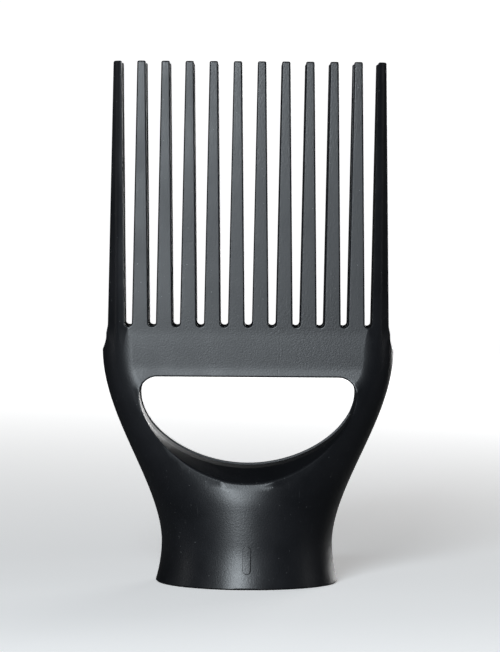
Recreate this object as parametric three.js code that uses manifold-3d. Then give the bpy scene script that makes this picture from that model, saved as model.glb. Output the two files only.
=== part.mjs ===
// Comb nozzle for a hair dryer, in millimetres, +Z up, standing on its collar.
//
// Two moulded half shells close round a swivel sleeve. The sleeve pushes over the
// barrel of the dryer and holds it with four leaf springs. Air rises from the
// collar, divides round the window liner and leaves between two rows of teeth.

import * as THREE from 'three';
import { ParametricGeometry } from 'three/addons/geometries/ParametricGeometry.js';
import { mergeVertices } from 'three/addons/utils/BufferGeometryUtils.js';
import Module from 'manifold-3d';

const wasm = await Module();
wasm.setup();

// ---- Driving dimensions ---------------------------------------------------

// Collar: the round end that stands on the table and covers the dryer's barrel.
const COLLAR_DIAMETER = 54;
const WAIST_DIAMETER = 50.3;
const WAIST_HEIGHT = 12;
const COLLAR_EDGE = 0.7;
const BORE_DIAMETER = 46.3;

// Neck and head: the round collar opens out into a flat oval head.
const HEAD_WIDTH = 85.8;
const HEAD_DEPTH = 20;
const HEAD_END_LENGTH = 9.5;
const HEAD_HEIGHT = 68.5;
const NECK_FLARE = 0.93;
const SHOULDER_START = 24;
const SHOULDER_END = 64;
const WALL = 2.4;

// Window: the wide opening through the front and the rear of the neck.
const WINDOW_WIDTH = 63.4;
const WINDOW_TOP = 60.8;
const WINDOW_SIDE = 55.6;
const WINDOW_BOTTOM = 34.2;
const WINDOW_FULLNESS = 1.9;
const SCOOP_DEPTH = 12;
const SCOOP_SLOPE = 0.29;

// Teeth: one row on each shell.
const TEETH_PER_ROW = 12;
const ROW_INSET = 1.8;
const TOOTH_ROOT_WIDTH = 4.9;
const TOOTH_TIP_WIDTH = 2.5;
const TOOTH_LENGTH = 77.5;
const TIP_DEPTH = 24;
const SLOT_FLOOR = 75.5;
const ROW_GAP = 9.6;
const ROW_GAP_TIP = 13;
const TIP_ROUND = 0.6;

// Swivel sleeve, its flange and what it carries.
const SLEEVE_WALL = 1.4;
const SLEEVE_BOTTOM = 0.8;
const SLEEVE_LENGTH = 21.5;
const FLANGE_HEIGHT = 1.8;
const FLANGE_REACH = 0.95;
const GLIDE_RING_HEIGHT = 0.8;
const SEAL_HEIGHT = 2.6;
const SEAL_REACH = 1;
const SEAL_SEAT = 0.8;
const STOP_REACH = 1.4;
const STOP_HEIGHT = 0.9;
const LEAD_IN = 0.6;
const SPRING_COUNT = 4;
const SPRING_THICKNESS = 0.6;
const SPRING_WIDTH = 5.5;
const SPRING_LENGTH = 12;
const SPRING_TOP = 16.4;
const SPRING_BULGE = 0.7;
const SPRING_INSET = 0.15;

// Liner that closes the window between the shells.
const LINER_WALL = 1.6;
const LINER_SETBACK = 0.4;

// Index mark on the front of the collar.
const MARK_WIDTH = 2.4;
const MARK_HEIGHT = 8;
const MARK_BOTTOM = 4.5;
const MARK_RELIEF = 0.4;

// Clearances.
const FIT_GAP = 0.3;
const SEAM_GAP = 0.3;

// Fineness of the curved surfaces, and how far a cutter runs past what it cuts.
const RING_SIDES = 72;
const OVAL_SIDES = 64;
const WINDOW_STEPS = 26;
const ARC_STEPS = 8;
const OVERRUN = 5;
const FAR = 120;

// ---- Derived sizes --------------------------------------------------------

const TIP_HEIGHT = SLOT_FLOOR + TOOTH_LENGTH;
const ROW_WIDTH = HEAD_WIDTH - 2 * ROW_INSET;
const TOOTH_PITCH = (ROW_WIDTH - TOOTH_ROOT_WIDTH) / (TEETH_PER_ROW - 1);
const SHOULDER_TOP = HEAD_HEIGHT + ROW_GAP / 2;
const SHOULDER_DROP = HEAD_END_LENGTH * (1 - Math.sqrt(1 - (ROW_GAP / HEAD_DEPTH) ** 2));
const SHOULDER_HALF_WIDTH = HEAD_WIDTH / 2 - SHOULDER_DROP;
const BORE_RADIUS = BORE_DIAMETER / 2;
const SLEEVE_RADIUS = BORE_RADIUS - FIT_GAP;
const SOCKET_RADIUS = SLEEVE_RADIUS - SLEEVE_WALL;
const SLEEVE_TOP = SLEEVE_BOTTOM + SLEEVE_LENGTH;
const FLANGE_TOP = SLEEVE_TOP;
const FLANGE_BOTTOM = FLANGE_TOP - FLANGE_HEIGHT;
const FLANGE_RADIUS = SLEEVE_RADIUS + FLANGE_REACH;
const GLIDE_BOTTOM = FLANGE_BOTTOM - FIT_GAP - GLIDE_RING_HEIGHT;
const GROOVE_BOTTOM = GLIDE_BOTTOM - FIT_GAP;
const GROOVE_TOP = FLANGE_TOP + FIT_GAP;
const GROOVE_RADIUS = FLANGE_RADIUS + FIT_GAP;
const SEAL_TOP = SLEEVE_TOP - STOP_HEIGHT - FIT_GAP;
const SEAL_BOTTOM = SEAL_TOP - SEAL_HEIGHT;
const SEAL_SEAT_RADIUS = SOCKET_RADIUS + SEAL_SEAT;
const SPRING_BOTTOM = SPRING_TOP - SPRING_LENGTH;
const CAVITY_LAP = FIT_GAP;

// ---- Helpers --------------------------------------------------------------

const mix = (from, to, share) => from + (to - from) * share;

function smooth(from, to, value) {
  const share = THREE.MathUtils.clamp((value - from) / (to - from), 0, 1);
  return share * share * (3 - 2 * share);
}

/** Turns a closed three.js geometry into a solid that can be joined and cut. */
function solid(geometry) {
  const bare = geometry.clone();
  bare.deleteAttribute('normal');
  bare.deleteAttribute('uv');
  const merged = mergeVertices(bare, 1e-4);
  const index = [];
  for (let i = 0; i < merged.index.count; i += 3) {
    const [a, b, c] = [0, 1, 2].map((k) => merged.index.getX(i + k));
    if (a !== b && b !== c && c !== a) {
      index.push(a, b, c);
    }
  }
  const mesh = new wasm.Mesh({
    numProp: 3,
    vertProperties: Float32Array.from(merged.attributes.position.array),
    triVerts: Uint32Array.from(index),
  });
  return new wasm.Manifold(mesh);
}

/** Turns a solid back into a named mesh with its own material. */
function meshOf(name, shape, material) {
  const { vertProperties, triVerts, numProp } = shape.getMesh();
  const geometry = new THREE.BufferGeometry();
  const position = new THREE.BufferAttribute(Float32Array.from(vertProperties), numProp);
  geometry.setAttribute('position', position);
  geometry.setIndex(new THREE.BufferAttribute(Uint32Array.from(triVerts), 1));
  geometry.computeVertexNormals();
  const mesh = new THREE.Mesh(geometry, material);
  mesh.name = name;
  return mesh;
}

/**
 * A closed solid through sections stacked along one axis.
 * outline(level, turn) gives the point of the section at that level and turn;
 * the first and last sections are closed with flat ends.
 */
function loft(levels, sides, outline) {
  const centre = (level) => {
    const near = outline(level, 0);
    const far = outline(level, 0.5);
    return near.add(far).multiplyScalar(0.5);
  };
  const last = levels.length - 1;
  const place = (u, v, target) => {
    const row = Math.round(v * (last + 2)) - 1;
    const level = levels[THREE.MathUtils.clamp(row, 0, last)];
    const isEnd = row < 0 || row > last;
    const turn = u > 1 - 1e-9 ? 0 : u;
    target.copy(isEnd ? centre(level) : outline(level, turn));
  };
  return solid(new ParametricGeometry(place, sides, last + 2));
}

/** A ring or disc made by turning a closed profile of [radius, height] pairs. */
function turned(profile) {
  const points = profile.map(([radius, height]) => new THREE.Vector2(radius, height));
  points.push(points[0].clone());
  return solid(new THREE.LatheGeometry(points, RING_SIDES).rotateX(Math.PI / 2));
}

/** A box-section ring. */
function ring(inner, outer, bottom, top) {
  return turned([[inner, bottom], [outer, bottom], [outer, top], [inner, top]]);
}

/** A disc about the vertical axis. */
function disc(radius, bottom, top) {
  const geometry = new THREE.CylinderGeometry(radius, radius, top - bottom, RING_SIDES);
  geometry.rotateX(Math.PI / 2).translate(0, 0, (bottom + top) / 2);
  return solid(geometry);
}

/** A front-view shape (x, z) carried through the object from front to rear. */
function throughDepth(shape, front = -FAR, rear = FAR) {
  const options = { depth: rear - front, bevelEnabled: false, curveSegments: ARC_STEPS };
  const geometry = new THREE.ExtrudeGeometry(shape, options);
  geometry.rotateX(Math.PI / 2).translate(0, rear, 0);
  return solid(geometry);
}

/** A side-view shape (y, z) carried across the whole width. */
function throughWidth(shape, width = 2 * FAR) {
  const options = { depth: width, bevelEnabled: false, curveSegments: ARC_STEPS };
  const geometry = new THREE.ExtrudeGeometry(shape, options);
  geometry.rotateX(Math.PI / 2).rotateZ(Math.PI / 2).translate(-width / 2, 0, 0);
  return solid(geometry);
}

// ---- Outer form -----------------------------------------------------------

/** How far the rounded bottom edge of the collar draws the outside in. */
function edgeRound(z) {
  const below = THREE.MathUtils.clamp(1 - z / COLLAR_EDGE, 0, 1);
  return COLLAR_EDGE * (1 - Math.sqrt(1 - below * below));
}

/** Half width of the outside at a height. */
function halfWidth(z) {
  if (z < WAIST_HEIGHT) {
    const below = (WAIST_HEIGHT - z) / WAIST_HEIGHT;
    return mix(WAIST_DIAMETER, COLLAR_DIAMETER, below * below) / 2;
  }
  const rise = Math.min((z - WAIST_HEIGHT) / (HEAD_HEIGHT - WAIST_HEIGHT), 1);
  return mix(WAIST_DIAMETER, HEAD_WIDTH, smooth(0, 1, rise ** NECK_FLARE)) / 2;
}

/** Half depth of the outside at a height. */
function halfDepth(z) {
  const round = z < WAIST_HEIGHT ? halfWidth(z) : WAIST_DIAMETER / 2;
  const flat = mix(round, HEAD_DEPTH / 2, smooth(SHOULDER_START, SHOULDER_END, z));
  const splay = THREE.MathUtils.clamp((z - SLOT_FLOOR) / TOOTH_LENGTH, 0, 1);
  return flat + splay * (TIP_DEPTH - HEAD_DEPTH) / 2;
}

/** Length of the rounded end of the oval at a height. */
function endLength(z) {
  return mix(halfWidth(z), HEAD_END_LENGTH, smooth(SHOULDER_START, SHOULDER_END, z));
}

/** A point of the oval section, moved inwards by an inset. */
function ovalPoint(z, turn, inset) {
  const angle = turn * 2 * Math.PI + Math.PI / 2;
  const across = Math.cos(angle);
  const along = Math.sin(angle);
  const end = endLength(z);
  const side = Math.abs(across) < 1e-9 ? 0 : Math.sign(across);
  const x = side * (halfWidth(z) - end) + across * (end - inset);
  return new THREE.Vector3(x, along * (halfDepth(z) - inset), z);
}

/** The outer form between two heights, drawn in by an inset. */
function form(bottom, top, inset) {
  const bends = [HEAD_HEIGHT, SLOT_FLOOR];
  for (let z = 3; z < SHOULDER_END; z += z < SHOULDER_START ? 3 : 4) {
    bends.push(z);
  }
  const inside = bends.filter((z) => z > bottom + 1 && z < top - 1).sort((a, b) => a - b);
  return loft([bottom, ...inside, top], OVAL_SIDES, (z, turn) => ovalPoint(z, turn, inset));
}

/** The foot of the collar, with its rounded bottom edge. */
function foot(top) {
  const levels = [0, 0.1, 0.3, 0.6, 1].map((share) => share * COLLAR_EDGE);
  return loft([...levels, top], OVAL_SIDES, (z, turn) => ovalPoint(z, turn, edgeRound(z)));
}

// ---- Window ---------------------------------------------------------------

/** Outline of the window in front view, grown outwards by a margin. */
function windowShape(margin) {
  const half = WINDOW_WIDTH / 2 + margin;
  const drop = WINDOW_SIDE - WINDOW_BOTTOM + margin;
  const corner = WINDOW_TOP - WINDOW_SIDE + margin;
  const power = 2 / WINDOW_FULLNESS;
  const shape = new THREE.Shape();
  shape.moveTo(half, WINDOW_SIDE);
  shape.absarc(half - corner, WINDOW_SIDE, corner, 0, Math.PI / 2, false);
  shape.absarc(corner - half, WINDOW_SIDE, corner, Math.PI / 2, Math.PI, false);
  for (let i = 1; i < WINDOW_STEPS; i += 1) {
    const angle = Math.PI * (i / WINDOW_STEPS);
    const across = Math.cos(angle);
    const x = -half * Math.sign(across) * Math.abs(across) ** power;
    shape.lineTo(x, WINDOW_SIDE - drop * Math.sin(angle) ** power);
  }
  shape.closePath();
  return shape;
}

/** The sloping recess round the window: side -1 is the front, 1 is the rear. */
function scoop(side, margin) {
  const options = {
    depth: 1,
    bevelThickness: COLLAR_DIAMETER,
    bevelSize: COLLAR_DIAMETER * SCOOP_SLOPE,
    bevelSegments: 1,
    curveSegments: ARC_STEPS,
  };
  const geometry = new THREE.ExtrudeGeometry(windowShape(margin), options);
  geometry.rotateX(Math.PI / 2).translate(0, margin - SCOOP_DEPTH - COLLAR_DIAMETER, 0);
  if (side > 0) {
    geometry.rotateZ(Math.PI);
  }
  return solid(geometry);
}

/** Everything inside the walls, drawn in further by a clearance. */
function cavity(clearance) {
  const inset = WALL + clearance;
  const bore = disc(BORE_RADIUS - clearance, -OVERRUN, GROOVE_TOP + CAVITY_LAP);
  return form(GROOVE_TOP, TIP_HEIGHT + OVERRUN, inset)
    .subtract(scoop(-1, inset))
    .subtract(scoop(1, inset))
    .add(bore);
}

// ---- Teeth ----------------------------------------------------------------

/** Front outline of the comb: everything below the slots, and the teeth. */
function combOutline() {
  const slotRadius = (TOOTH_PITCH - TOOTH_ROOT_WIDTH) / 2;
  const rootHeight = SLOT_FLOOR + slotRadius;
  const halfTip = TOOTH_TIP_WIDTH / 2;
  const cornerHeight = TIP_HEIGHT - TIP_ROUND;
  const shape = new THREE.Shape();
  shape.moveTo(-FAR, -OVERRUN);
  shape.lineTo(-FAR, SHOULDER_TOP);
  shape.lineTo(-SHOULDER_HALF_WIDTH, SHOULDER_TOP);
  for (let tooth = 0; tooth < TEETH_PER_ROW; tooth += 1) {
    const x = (tooth - (TEETH_PER_ROW - 1) / 2) * TOOTH_PITCH;
    shape.lineTo(x - TOOTH_ROOT_WIDTH / 2, rootHeight);
    shape.lineTo(x - halfTip, cornerHeight);
    shape.absarc(x - halfTip + TIP_ROUND, cornerHeight, TIP_ROUND, Math.PI, Math.PI / 2, true);
    shape.absarc(x + halfTip - TIP_ROUND, cornerHeight, TIP_ROUND, Math.PI / 2, 0, true);
    shape.lineTo(x + TOOTH_ROOT_WIDTH / 2, rootHeight);
    if (tooth < TEETH_PER_ROW - 1) {
      shape.absarc(x + TOOTH_PITCH / 2, rootHeight, slotRadius, Math.PI, 2 * Math.PI, false);
    }
  }
  shape.lineTo(SHOULDER_HALF_WIDTH, SHOULDER_TOP);
  shape.lineTo(FAR, SHOULDER_TOP);
  shape.lineTo(FAR, -OVERRUN);
  shape.closePath();
  return shape;
}

/** Side outline of the comb: two rows of teeth and the gap between them. */
function rowOutline() {
  const floor = HEAD_HEIGHT + ROW_GAP / 2;
  const edge = TIP_DEPTH / 2;
  const shape = new THREE.Shape();
  shape.moveTo(-FAR, -OVERRUN);
  shape.lineTo(-FAR, SLOT_FLOOR);
  shape.lineTo(-edge, SLOT_FLOOR);
  shape.lineTo(-edge, TIP_HEIGHT - TIP_ROUND);
  shape.absarc(TIP_ROUND - edge, TIP_HEIGHT - TIP_ROUND, TIP_ROUND, Math.PI, Math.PI / 2, true);
  shape.lineTo(-ROW_GAP_TIP / 2, TIP_HEIGHT);
  shape.lineTo(-ROW_GAP / 2, floor);
  shape.absarc(0, floor, ROW_GAP / 2, Math.PI, 2 * Math.PI, false);
  shape.lineTo(ROW_GAP_TIP / 2, TIP_HEIGHT);
  shape.absarc(edge - TIP_ROUND, TIP_HEIGHT - TIP_ROUND, TIP_ROUND, Math.PI / 2, 0, true);
  shape.lineTo(edge, SLOT_FLOOR);
  shape.lineTo(FAR, SLOT_FLOOR);
  shape.lineTo(FAR, -OVERRUN);
  shape.closePath();
  return shape;
}

// ---- Shells ---------------------------------------------------------------

/** The raised index mark on the front of the collar. */
function indexMark() {
  const radius = MARK_WIDTH / 2;
  const low = MARK_BOTTOM + radius;
  const high = MARK_BOTTOM + MARK_HEIGHT - radius;
  const shape = new THREE.Shape();
  shape.absarc(0, high, radius, 0, Math.PI, false);
  shape.absarc(0, low, radius, Math.PI, 2 * Math.PI, false);
  shape.closePath();
  return throughDepth(shape, -FAR, 0)
    .intersect(form(COLLAR_EDGE, SHOULDER_START, -MARK_RELIEF))
    .subtract(form(0, SHOULDER_START + OVERRUN, WALL / 2));
}

/** Both shells as one: walls, window, teeth and the groove for the flange. */
function bothShells() {
  return form(COLLAR_EDGE, TIP_HEIGHT, 0)
    .add(foot(2 * COLLAR_EDGE))
    .intersect(throughDepth(combOutline()))
    .intersect(throughWidth(rowOutline()))
    .subtract(scoop(-1, 0))
    .subtract(scoop(1, 0))
    .add(indexMark())
    .subtract(cavity(0))
    .subtract(throughDepth(windowShape(0)))
    .subtract(disc(GROOVE_RADIUS, GROOVE_BOTTOM, GROOVE_TOP));
}

/** One half of the shells: side -1 is the front, 1 is the rear. */
function halfShell(whole, side) {
  const box = new THREE.BoxGeometry(FAR, FAR, 4 * FAR);
  box.translate(0, side * (FAR + SEAM_GAP) / 2, 0);
  return whole.intersect(solid(box));
}

// ---- Window liner ---------------------------------------------------------

/** The band that closes the window between the two shells. */
function windowLiner() {
  return throughDepth(windowShape(LINER_SETBACK + LINER_WALL))
    .subtract(throughDepth(windowShape(LINER_SETBACK), -2 * FAR, 2 * FAR))
    .intersect(cavity(FIT_GAP));
}

// ---- Swivel sleeve --------------------------------------------------------

/** Turns a shape that faces the front to one of the places round the sleeve. */
function atQuarter(shape, index) {
  return shape.rotate([0, 0, index * (360 / SPRING_COUNT)]);
}

/** A box in front of the axis, by its width and its radial and vertical span. */
function frontBox(width, inner, outer, bottom, top) {
  const geometry = new THREE.BoxGeometry(width, outer - inner, top - bottom);
  geometry.translate(0, -(inner + outer) / 2, (bottom + top) / 2);
  return solid(geometry);
}

/** The sleeve that takes the barrel of the dryer and turns in the collar. */
function couplingSleeve() {
  const sealSeat = SEAL_TOP + FIT_GAP;
  const profile = [
    [SOCKET_RADIUS + LEAD_IN, SLEEVE_BOTTOM],
    [SLEEVE_RADIUS, SLEEVE_BOTTOM],
    [SLEEVE_RADIUS, FLANGE_BOTTOM],
    [FLANGE_RADIUS, FLANGE_BOTTOM],
    [FLANGE_RADIUS, FLANGE_TOP],
    [SOCKET_RADIUS - STOP_REACH, FLANGE_TOP],
    [SOCKET_RADIUS - STOP_REACH, sealSeat],
    [SEAL_SEAT_RADIUS, sealSeat],
    [SEAL_SEAT_RADIUS, SEAL_BOTTOM - FIT_GAP],
    [SOCKET_RADIUS, SEAL_BOTTOM - FIT_GAP],
    [SOCKET_RADIUS, SLEEVE_BOTTOM + LEAD_IN],
  ];
  let sleeve = turned(profile);
  const pocket = frontBox(
    SPRING_WIDTH + 2 * FIT_GAP,
    SOCKET_RADIUS - SLEEVE_WALL,
    SLEEVE_RADIUS + SLEEVE_WALL,
    SPRING_BOTTOM - FIT_GAP,
    SPRING_TOP + FIT_GAP,
  );
  for (let i = 0; i < SPRING_COUNT; i += 1) {
    sleeve = sleeve.subtract(atQuarter(pocket, i));
  }
  return sleeve;
}

/** A leaf spring in its pocket at the front, bowed in towards the barrel. */
function leafSpring() {
  const middle = SOCKET_RADIUS + SLEEVE_WALL / 2 - SPRING_INSET;
  const inner = middle - SPRING_THICKNESS / 2;
  const outer = middle + SPRING_THICKNESS / 2;
  const shank = SPRING_TOP - SPRING_LENGTH / 4;
  const bow = (shank + SPRING_BOTTOM) / 2;
  const shape = new THREE.Shape();
  shape.moveTo(-outer, SPRING_TOP);
  shape.lineTo(-outer, shank);
  shape.quadraticCurveTo(2 * SPRING_BULGE - outer, bow, -outer, SPRING_BOTTOM);
  shape.lineTo(-inner, SPRING_BOTTOM);
  shape.quadraticCurveTo(2 * SPRING_BULGE - inner, bow, -inner, shank);
  shape.lineTo(-inner, SPRING_TOP);
  shape.closePath();
  return throughWidth(shape, SPRING_WIDTH);
}

// ---- Assembly -------------------------------------------------------------

const BLACK_PLASTIC = { color: 0x2b2c30, roughness: 0.5, metalness: 0 };
const LINER_PLASTIC = { color: 0x1d1d20, roughness: 0.6, metalness: 0 };
const SLEEVE_PLASTIC = { color: 0x3a3b3f, roughness: 0.55, metalness: 0 };
const ACETAL = { color: 0xd9d7cf, roughness: 0.4, metalness: 0 };
const SILICONE = { color: 0x5d5f63, roughness: 0.8, metalness: 0 };
const SPRING_STEEL = { color: 0xb9bcc0, roughness: 0.3, metalness: 1 };
const SPRING_SIDES = ['front', 'right', 'rear', 'left'];

const nozzle = new THREE.Group();

function place(name, shape, finish) {
  nozzle.add(meshOf(name, shape, new THREE.MeshStandardMaterial(finish)));
}

const shells = bothShells();
place('front_comb_shell', halfShell(shells, -1), BLACK_PLASTIC);
place('rear_comb_shell', halfShell(shells, 1), BLACK_PLASTIC);
place('window_liner', windowLiner(), LINER_PLASTIC);
place('coupling_sleeve', couplingSleeve(), SLEEVE_PLASTIC);
place(
  'glide_ring',
  ring(BORE_RADIUS, GROOVE_RADIUS - FIT_GAP, GLIDE_BOTTOM, GLIDE_BOTTOM + GLIDE_RING_HEIGHT),
  ACETAL,
);
place(
  'barrel_seal',
  ring(SOCKET_RADIUS - SEAL_REACH, SEAL_SEAT_RADIUS - FIT_GAP, SEAL_BOTTOM, SEAL_TOP),
  SILICONE,
);
SPRING_SIDES.forEach((side, index) => {
  place(`${side}_grip_spring`, atQuarter(leafSpring(), index), SPRING_STEEL);
});

export default nozzle;
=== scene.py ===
"""Looks of the comb nozzle: fine shells, inner pieces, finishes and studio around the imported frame."""

import logging
import math
from dataclasses import dataclass, field
from enum import Enum
from typing import Callable, Optional, Sequence

import bmesh
import bpy
from mathutils import Matrix, Vector, kdtree


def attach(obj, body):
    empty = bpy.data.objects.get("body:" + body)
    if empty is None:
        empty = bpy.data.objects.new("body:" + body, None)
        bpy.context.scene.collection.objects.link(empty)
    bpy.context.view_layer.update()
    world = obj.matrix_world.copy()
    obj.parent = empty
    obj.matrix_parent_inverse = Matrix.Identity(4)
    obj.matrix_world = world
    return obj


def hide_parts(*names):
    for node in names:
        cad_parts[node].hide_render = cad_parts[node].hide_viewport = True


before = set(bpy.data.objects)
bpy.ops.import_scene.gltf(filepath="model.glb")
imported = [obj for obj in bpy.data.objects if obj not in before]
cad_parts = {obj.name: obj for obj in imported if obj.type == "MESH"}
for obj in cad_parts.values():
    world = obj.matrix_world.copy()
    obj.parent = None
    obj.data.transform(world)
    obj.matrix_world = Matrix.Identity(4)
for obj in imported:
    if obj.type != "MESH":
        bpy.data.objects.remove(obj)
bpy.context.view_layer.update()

LOG = logging.getLogger("comb_nozzle")

MM = 0.001
ROUND = 0.5523  # the pull of a handle that makes a quarter of a circle, for a radius of 1
FAR = 120.0  # past every side of the nozzle, in millimetres
SHARP_ANGLE = math.radians(28)
RIM_GAP = 0.08  # rim points closer than this are merged, in millimetres
RIM_STEP = 0.2  # how closely rims are followed, in millimetres
STRIP = 1.25  # width of the cleared strip beside a rim, in roundings
TINY = 1e-6  # places closer than this count as the same, in metres

Triple = tuple[float, float, float]
Pair = tuple[float, float]
Piece = bpy.types.Object
Point = bmesh.types.BMVert
Material = bpy.types.Material
NodeTree = bpy.types.NodeTree
Socket = bpy.types.NodeSocket


class Side(Enum):
    """The two halves of the nozzle, by the way they face along Y."""

    FRONT = -1
    REAR = 1


class Join(Enum):
    """How a second solid changes the first."""

    CUT = "DIFFERENCE"
    ADD = "UNION"
    KEEP = "INTERSECT"


class View(Enum):
    """The view in which an outline is drawn, by the turn that stands it up."""

    FRONT = 0.0
    SIDE = math.pi / 2


# ---- Modelling helpers -----------------------------------------------------


def leave_edit() -> None:
    """Returns to object mode and selects nothing."""
    if bpy.context.object and bpy.context.object.mode != "OBJECT":
        bpy.ops.object.mode_set(mode="OBJECT")
    bpy.ops.object.select_all(action="DESELECT")


def focus(piece: Piece, editing: bool = False) -> None:
    """Makes one piece the only selected and active object.

    Args:
        piece: the object that the next operators work on.
        editing: goes into edit mode with everything selected.
    """
    leave_edit()
    piece.select_set(True)
    bpy.context.view_layer.objects.active = piece
    if editing:
        bpy.ops.object.mode_set(mode="EDIT")
        bpy.ops.mesh.select_all(action="SELECT")


def apply_modifier(piece: Piece, kind: str, **settings: object) -> None:
    """Adds one modifier to a piece, sets it up and applies it.

    Args:
        piece: the object that is changed.
        kind: Blender's name for the modifier.
        settings: the modifier's own values.
    """
    focus(piece)
    modifier = piece.modifiers.new(kind.lower(), kind)
    for name, value in settings.items():
        setattr(modifier, name, value)
    bpy.ops.object.modifier_apply(modifier=modifier.name)


def combine(piece: Piece, how: Join, *tools: Piece) -> Piece:
    """Cuts, adds or keeps other solids, which are removed afterwards.

    Args:
        piece: the solid that is changed.
        how: what is done.
        tools: the solids it is changed by, one after another.

    Returns:
        The changed solid.
    """
    for tool in tools:
        apply_modifier(piece, "BOOLEAN", object=tool, operation=how.value, solver="MANIFOLD")
        bpy.data.objects.remove(tool, do_unlink=True)
    return piece


def twin_of(piece: Piece, name: str) -> Piece:
    """Copies a piece with a mesh of its own.

    Args:
        piece: the object to copy.
        name: the copy's name.

    Returns:
        The copy, linked to the scene.
    """
    twin = piece.copy()
    twin.data = piece.data.copy()
    twin.name = name
    bpy.context.collection.objects.link(twin)
    return twin


@dataclass(frozen=True)
class Knot:
    """A point of an outline, with the pulls of its two handles, in millimetres."""

    at: Pair
    back: Pair = (0.0, 0.0)
    ahead: Pair = (0.0, 0.0)


def bend(centre: Pair, radius: float, start: float, steps: int, turn: int = 1) -> list[Knot]:
    """Draws part of a circle in quarter turns.

    Args:
        centre: the circle's centre, in millimetres.
        radius: its radius, in millimetres.
        start: the angle of the first point, in degrees.
        steps: the number of quarter turns.
        turn: 1 for anticlockwise, -1 for clockwise.

    Returns:
        The knots of the arc, with no pull before the first and after the last.
    """
    knots = []
    for step in range(steps + 1):
        angle = math.radians(start + 90 * turn * step)
        across, along = math.cos(angle), math.sin(angle)
        pull = (-along * turn * radius * ROUND, across * turn * radius * ROUND)
        back = (-pull[0], -pull[1]) if step else (0.0, 0.0)
        ahead = pull if step < steps else (0.0, 0.0)
        knots.append(Knot((centre[0] + radius * across, centre[1] + radius * along), back, ahead))
    return knots


def prism(
    name: str,
    knots: Sequence[Knot],
    near: float,
    far: float,
    view: View = View.FRONT,
    steps: int = 8,
) -> Piece:
    """Makes a solid by carrying a flat closed outline straight through.

    Args:
        name: the solid's name.
        knots: the outline, in millimetres.
        near: where the solid starts along the line of sight, in millimetres.
        far: where it ends.
        view: the view that the outline is drawn in.
        steps: the number of straight pieces between two knots.

    Returns:
        The closed solid.
    """
    leave_edit()
    curve = bpy.data.curves.new(name, "CURVE")
    curve.dimensions = "2D"
    curve.fill_mode = "BOTH"
    curve.resolution_u = steps
    spline = curve.splines.new("BEZIER")
    spline.bezier_points.add(len(knots) - 1)
    spline.use_cyclic_u = True
    for point, knot in zip(spline.bezier_points, knots):
        (x, y), (back_x, back_y), (ahead_x, ahead_y) = knot.at, knot.back, knot.ahead
        point.handle_left_type = point.handle_right_type = "FREE"
        point.co = (x * MM, y * MM, 0)
        point.handle_left = ((x + back_x) * MM, (y + back_y) * MM, 0)
        point.handle_right = ((x + ahead_x) * MM, (y + ahead_y) * MM, 0)
    curve.extrude = (far - near) / 2 * MM
    drawn = bpy.data.objects.new(name, curve)
    bpy.context.collection.objects.link(drawn)
    focus(drawn)
    bpy.ops.object.convert(target="MESH")
    solid = bpy.context.object
    solid.rotation_euler = (math.pi / 2, 0, view.value)
    middle = (near + far) / 2 * MM
    solid.location = (0, middle, 0) if view is View.FRONT else (middle, 0, 0)
    bpy.ops.object.transform_apply(location=True, rotation=True, scale=True)
    tidy(solid)
    focus(solid, editing=True)
    bpy.ops.mesh.dissolve_limited(angle_limit=math.radians(0.1))
    leave_edit()
    return solid


def tidy(piece: Piece, gap: float = 0.001) -> None:
    """Merges points that lie on each other and turns every face outwards.

    Args:
        piece: the mesh to clean.
        gap: how close points have to be, in millimetres.
    """
    focus(piece, editing=True)
    bpy.ops.mesh.remove_doubles(threshold=gap * MM)
    bpy.ops.mesh.normals_make_consistent(inside=False)
    leave_edit()


def turned(name: str, profile: Sequence[Pair], sides: int = 144) -> Piece:
    """Makes a ring or disc by drawing a circle out through a closed profile.

    Args:
        name: the solid's name.
        profile: pairs of radius and height, in millimetres, which end where they start.
        sides: the number of points round the axis.

    Returns:
        The closed solid.
    """
    leave_edit()
    radius, height = profile[0]
    place = {"location": (0, 0, height * MM), "fill_type": "NOTHING"}
    bpy.ops.mesh.primitive_circle_add(vertices=sides, radius=radius * MM, **place)
    solid = bpy.context.object
    solid.name = name
    bpy.ops.object.transform_apply(location=True, rotation=True, scale=True)
    bpy.ops.object.mode_set(mode="EDIT")
    bpy.ops.mesh.select_all(action="SELECT")
    for wider, higher in [*profile[1:], profile[0]]:
        rise = (0, 0, (higher - height) * MM)
        bpy.ops.mesh.extrude_region_move(TRANSFORM_OT_translate={"value": rise})
        growth = wider / radius
        bpy.ops.transform.resize(value=(growth, growth, 1), center_override=(0, 0, higher * MM))
        radius, height = wider, higher
    tidy(solid)
    return solid


def choose_points(solid: Piece, chosen: set[Point]) -> None:
    """Selects some points of an edited mesh, and no others.

    Args:
        solid: the mesh in edit mode.
        chosen: the points that are selected.
    """
    mesh = bmesh.from_edit_mesh(solid.data)
    for vertex in mesh.verts:
        vertex.select_set(vertex in chosen)
    mesh.select_flush(True)
    bmesh.update_edit_mesh(solid.data)


def choose(solid: Piece, points: Sequence[Point], rule: Callable[[Vector], bool]) -> None:
    """Selects the points that keep to a rule.

    Args:
        solid: the mesh in edit mode.
        points: the points to look through.
        rule: tells by a point's place whether it is selected.
    """
    choose_points(solid, {point for point in points if rule(point.co)})


def sharp_edges(mesh: bmesh.types.BMesh) -> list[bmesh.types.BMEdge]:
    """Lists the edges at which a solid turns sharply."""
    return [edge for edge in mesh.edges if edge.is_manifold and edge.calc_face_angle(0) > SHARP_ANGLE]


def merge_rims(piece: Piece) -> None:
    """Merges the points of sharp edges that lie very close together."""
    mesh = bmesh.from_edit_mesh(piece.data)
    choose_points(piece, {vertex for edge in sharp_edges(mesh) for vertex in edge.verts})
    bpy.ops.mesh.remove_doubles(threshold=RIM_GAP * MM)


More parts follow.
